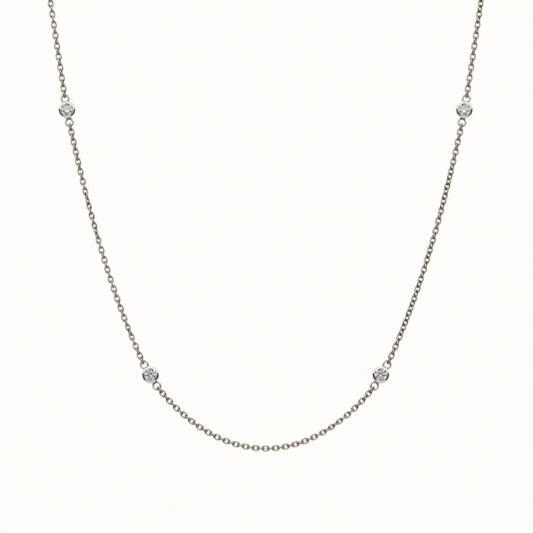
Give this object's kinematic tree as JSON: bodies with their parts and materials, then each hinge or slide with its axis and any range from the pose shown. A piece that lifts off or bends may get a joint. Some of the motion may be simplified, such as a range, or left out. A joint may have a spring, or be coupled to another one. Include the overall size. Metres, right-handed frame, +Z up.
{
  "type": "station necklace",
  "caption": "Fine cable chain necklace with round brilliants in tube settings set along it, kept in its hanging form, with a plain closed clasp at the nape.",
  "frame": {"origin": "centre of the clasp at the nape, where the necklace hangs on the neck", "axes": "+Z up, the stones face -Y, +X to the wearer's left"},
  "size_m": [0.1064, 0.0714, 0.1455],
  "materials": {
    "setting_metal": "polished white metal",
    "chain_metal": "polished white metal wire",
    "clasp_metal": "polished white metal",
    "stone": "clear faceted stone"
  },
  "bodies": {
    "root": {"bezel_1": "setting_metal", "bezel_2": "setting_metal", "bezel_3": "setting_metal", "bezel_4": "setting_metal", "stone_1": "stone", "stone_2": "stone", "stone_3": "stone", "stone_4": "stone", "chain_middle": "chain_metal", "chain_left_side": "chain_metal", "chain_right_side": "chain_metal", "chain_left_upper": "chain_metal", "chain_right_upper": "chain_metal", "chain_left_back": "chain_metal", "chain_right_back": "chain_metal", "clasp": "clasp_metal"}
  },
  "joints": []
}
